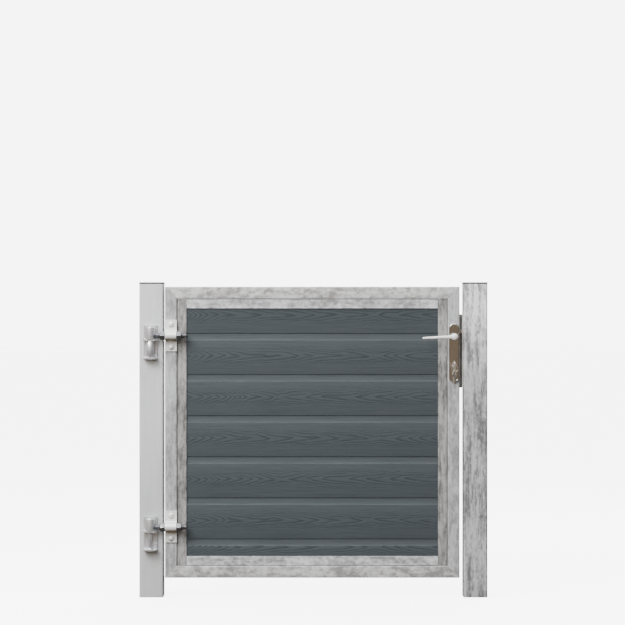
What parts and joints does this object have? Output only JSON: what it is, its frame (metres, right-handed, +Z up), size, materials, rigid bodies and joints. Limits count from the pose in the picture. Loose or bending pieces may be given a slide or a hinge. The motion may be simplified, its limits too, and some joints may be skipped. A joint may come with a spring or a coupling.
{
  "type": "garden gate",
  "caption": "Single-leaf garden gate: horizontal composite boards in a galvanised tube frame, hung on adjustable pin hinges between square posts, with a lever lock.",
  "frame": {"origin": "on the ground, midway between the posts, in the middle of the leaf's thickness (the middle of the bottom of the bounding box)", "axes": "+X along the gate from the hinge side to the lock side, +Y from the front towards the back, +Z up"},
  "size_m": [1.162, 0.134, 1.05],
  "materials": {
    "galvanised": "hot-dip galvanised, mottled dull spangle",
    "zinc": "bright zinc-plated steel",
    "composite": "matt wood-plastic composite with embossed wood grain",
    "black_plastic": "moulded satin plastic",
    "stainless": "satin stainless steel",
    "nickel": "satin nickel-plated brass",
    "spring_steel": "bare spring wire"
  },
  "bodies": {
    "posts": {"hinge_post": "galvanised", "latch_post": "galvanised", "hinge_post_cap": "black_plastic", "latch_post_cap": "black_plastic", "upper_bracket": "zinc", "upper_bracket_bolt": "zinc", "upper_bracket_screw": "zinc", "upper_pin": "zinc", "lower_bracket": "zinc", "lower_bracket_bolt": "zinc", "lower_bracket_screw": "zinc", "lower_pin": "zinc", "strike_plate": "stainless"},
    "leaf": {"hinge_stile": "galvanised", "lock_stile": "galvanised", "bottom_rail": "galvanised", "top_rail": "galvanised", "hinge_side_channel": "galvanised", "lock_side_channel": "galvanised", "bottom_channel": "galvanised", "top_channel": "galvanised", "board_1": "composite", "board_2": "composite", "board_3": "composite", "board_4": "composite", "board_5": "composite", "board_6": "composite", "board_7": "composite", "upper_eye_rod": "zinc", "upper_inner_nut": "zinc", "upper_outer_nut": "zinc", "upper_strap": "zinc", "upper_strap_upper_bolt": "zinc", "upper_strap_lower_bolt": "zinc", "lower_eye_rod": "zinc", "lower_inner_nut": "zinc", "lower_outer_nut": "zinc", "lower_strap": "zinc", "lower_strap_upper_bolt": "zinc", "lower_strap_lower_bolt": "zinc", "lock_case": "zinc", "lock_case_cover": "zinc", "lock_forend": "stainless", "latch_spring": "spring_steel", "front_plate": "stainless", "rear_plate": "stainless", "plate_upper_screw": "stainless", "plate_lower_screw": "stainless", "cylinder_body": "nickel", "cylinder_rear_plug": "nickel"},
    "levers": {"front_lever": "stainless", "rear_lever": "stainless", "spindle": "zinc", "lock_follower": "zinc"},
    "latch": {"latch_bolt": "nickel"},
    "key_plug": {"cylinder_plug": "nickel", "key": "nickel"},
    "deadbolt": {"deadbolt": "nickel"},
    "spare_keys": {"key_ring": "nickel", "spare_key": "nickel"}
  },
  "joints": [
    {"name": "leaf_swing", "type": "hinge", "parent": "posts", "child": "leaf", "pos_m": [-0.542, -0.044, 0.236], "axis": [0, 0, -1], "range_deg": [0, 180]},
    {"name": "lever_press", "type": "hinge", "parent": "leaf", "child": "levers", "pos_m": [0.4685, 0, 0.868], "axis": [0, -1, 0], "range_deg": [0, 40], "stiffness_Nm_per_rad": 1.2, "springref_deg": -17.19},
    {"name": "latch_slide", "type": "slide", "parent": "leaf", "child": "latch", "axis": [-1, 0, 0], "range_m": [0, 0.012], "deforming": ["latch_spring"]},
    {"name": "key_turn", "type": "hinge", "parent": "leaf", "child": "key_plug", "pos_m": [0.4685, -0.0303, 0.776], "axis": [0, 1, 0], "range_deg": [0, 360]},
    {"name": "deadbolt_slide", "type": "slide", "parent": "leaf", "child": "deadbolt", "axis": [1, 0, 0], "range_m": [0, 0.02]},
    {"name": "spare_key_swing", "type": "hinge", "parent": "key_plug", "child": "spare_keys", "pos_m": [0.4685, -0.0528, 0.7731], "axis": [-1, 0, 0], "range_deg": [-8, 60]}
  ],
  "couplings": [
    {"joint": "latch_slide", "follows": "lever_press", "m_per_rad": 0.017188},
    {"joint": "deadbolt_slide", "follows": "key_turn", "m_per_rad": 0.0031831}
  ]
}
